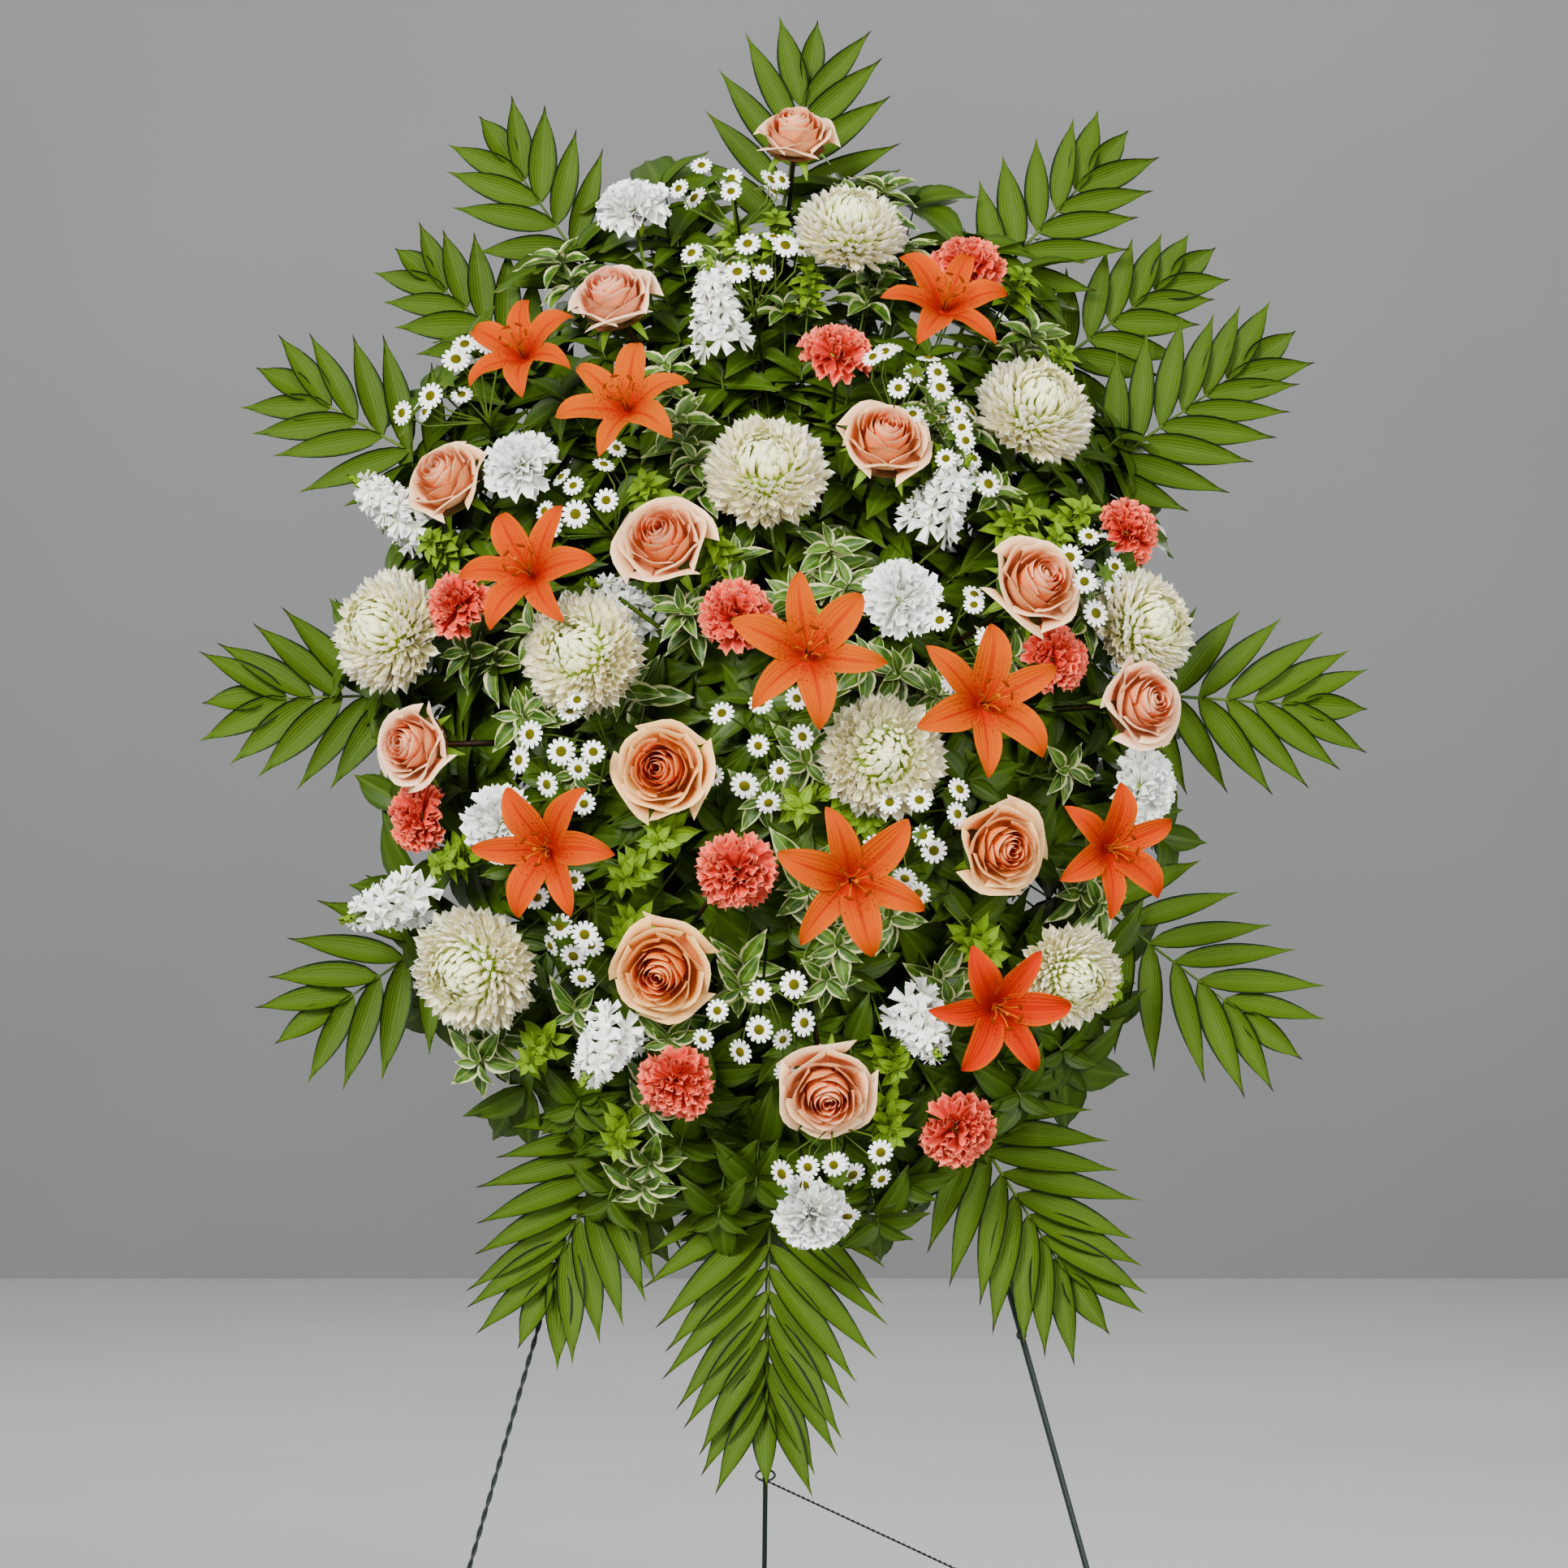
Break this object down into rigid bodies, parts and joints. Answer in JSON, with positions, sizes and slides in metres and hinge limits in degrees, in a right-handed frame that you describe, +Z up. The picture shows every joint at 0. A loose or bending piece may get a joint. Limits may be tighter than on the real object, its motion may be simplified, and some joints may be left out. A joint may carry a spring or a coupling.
{
  "type": "standing funeral spray on a folding easel",
  "caption": "Tall oval spray of roses, lilies, mums and palm fronds in a foam holder on a three-legged folding wire easel.",
  "frame": {"origin": "middle of the whole object's footprint box, at floor level", "axes": "+Z up, -Y to the front (the side the flowers face), +X to the viewer's right"},
  "size_m": [0.99, 0.7392, 1.754],
  "materials": {
    "wire": "satin",
    "tray": "matte",
    "foam": "matte",
    "palm_leaf": "satin",
    "leaf": "satin",
    "rose_petal": "matte",
    "mum_petal": "matte",
    "lily_petal": "satin",
    "coral_petal": "matte",
    "white_petal": "matte"
  },
  "bodies": {
    "stand": {"carnations_left_inner": "coral_petal", "carnations_left_low": "coral_petal", "carnations_low": "coral_petal", "carnations_right": "coral_petal", "carnations_upper": "coral_petal", "cross_wire_lower": "wire", "cross_wire_upper": "wire", "daisies_left": "white_petal", "daisies_low": "white_petal", "daisies_right": "white_petal", "daisies_top": "white_petal", "foam_block": "foam", "foam_tray": "tray", "frond_back_left": "palm_leaf", "frond_back_right": "palm_leaf", "frond_bottom": "palm_leaf", "frond_bottom_left": "palm_leaf", "frond_bottom_right": "palm_leaf", "frond_left": "palm_leaf", "frond_left_high": "palm_leaf", "frond_left_low": "palm_leaf", "frond_right": "palm_leaf", "frond_right_high": "palm_leaf", "frond_right_low": "palm_leaf", "frond_top": "palm_leaf", "frond_upper_left": "palm_leaf", "frond_upper_right": "palm_leaf", "front_leg_left": "wire", "front_leg_right": "wire", "greens_lower": "leaf", "greens_upper": "leaf", "lilies_centre": "lily_petal", "lilies_left": "lily_petal", "lilies_right": "lily_petal", "lilies_right_inner": "lily_petal", "lilies_upper": "lily_petal", "mum_left": "mum_petal", "mum_low_right": "mum_petal", "mum_right": "mum_petal", "mums_centre": "mum_petal", "mums_left_inner": "mum_petal", "mums_top": "mum_petal", "rose_centre_high": "rose_petal", "rose_left_high": "rose_petal", "rose_right": "rose_petal", "rose_upper_middle": "rose_petal", "roses_left_inner": "rose_petal", "roses_low": "rose_petal", "roses_right_inner": "rose_petal", "roses_top": "rose_petal", "stock_low": "white_petal", "stocks_left": "white_petal", "stocks_right": "white_petal", "stocks_upper": "white_petal", "white_carnations_left": "white_petal", "white_carnations_low": "white_petal", "white_carnations_right": "white_petal"},
    "rear_leg": {"rear_leg": "wire", "stay_ring": "wire"},
    "stay": {"stay_wire": "wire"}
  },
  "joints": [
    {"name": "rear_leg_fold", "type": "hinge", "parent": "stand", "child": "rear_leg", "pos_m": [-0.007, 0.01737, 1.29], "axis": [1, 0, 0], "range_deg": [-24, 0]},
    {"name": "stay_swing", "type": "hinge", "parent": "rear_leg", "child": "stay", "pos_m": [-0.01658, 0.22921, 0.46075], "axis": [1, 0, 0], "range_deg": [0, 90]}
  ],
  "couplings": [
    {"joint": "stay_swing", "follows": "rear_leg_fold", "ratio": -3.75}
  ]
}
